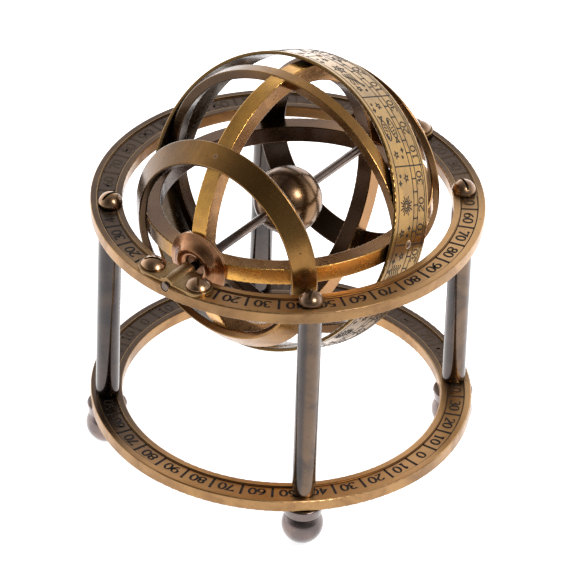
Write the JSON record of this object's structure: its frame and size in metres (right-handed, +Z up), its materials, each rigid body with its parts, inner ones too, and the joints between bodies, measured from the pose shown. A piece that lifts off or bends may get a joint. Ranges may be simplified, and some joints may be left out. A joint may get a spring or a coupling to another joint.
{
  "type": "armillary sphere",
  "caption": "Desktop armillary sphere: nested brass rings and a zodiac band turning on a level axle in a four-pillar ring stand with engraved degree rings.",
  "frame": {"origin": "on the table, midway between the four feet", "axes": "+Z up, +Y along the axle towards its back end, +X to the right; the four pillars stand on the diagonals, the front left one 2.5 degrees further back"},
  "size_m": [0.12, 0.12, 0.1331],
  "materials": {
    "gold_brass": "antiqued, polished highlights",
    "warm_brass": "antiqued, satin",
    "brown_brass": "antiqued, satin",
    "dark_brass": "dark patina, polished",
    "screw_brass": "antiqued, polished domes",
    "axle_steel": "browned, satin"
  },
  "bodies": {
    "stand": {"base_ring": "warm_brass", "horizon_ring": "warm_brass", "pillar_front_right": "dark_brass", "foot_front_right": "dark_brass", "ring_screw_front_right": "screw_brass", "pillar_back_right": "dark_brass", "foot_back_right": "dark_brass", "ring_screw_back_right": "screw_brass", "pillar_back_left": "dark_brass", "foot_back_left": "dark_brass", "ring_screw_back_left": "screw_brass", "pillar_front_left": "dark_brass", "foot_front_left": "dark_brass", "ring_screw_front_left": "screw_brass", "strap_front": "gold_brass", "strap_screw_front_left": "screw_brass", "strap_screw_front_right": "screw_brass", "strap_back": "gold_brass", "strap_screw_back_left": "screw_brass", "strap_screw_back_right": "screw_brass"},
    "sphere": {"parallel_ring_front": "gold_brass", "parallel_pins_front": "screw_brass", "cup_washer_front": "brown_brass", "parallel_ring_back": "gold_brass", "parallel_pins_back": "screw_brass", "cup_washer_back": "brown_brass", "equator_ring": "gold_brass", "colure_vertical": "brown_brass", "colure_horizontal": "brown_brass", "zodiac_band": "gold_brass", "zodiac_rivets": "screw_brass", "zodiac_spacers": "screw_brass", "earth_ball": "dark_brass", "axle_rod": "axle_steel"}
  },
  "joints": [
    {"name": "sphere_spin", "type": "hinge", "parent": "stand", "child": "sphere", "pos_m": [0, 0, 0.088], "axis": [0, 1, 0], "continuous": true}
  ]
}
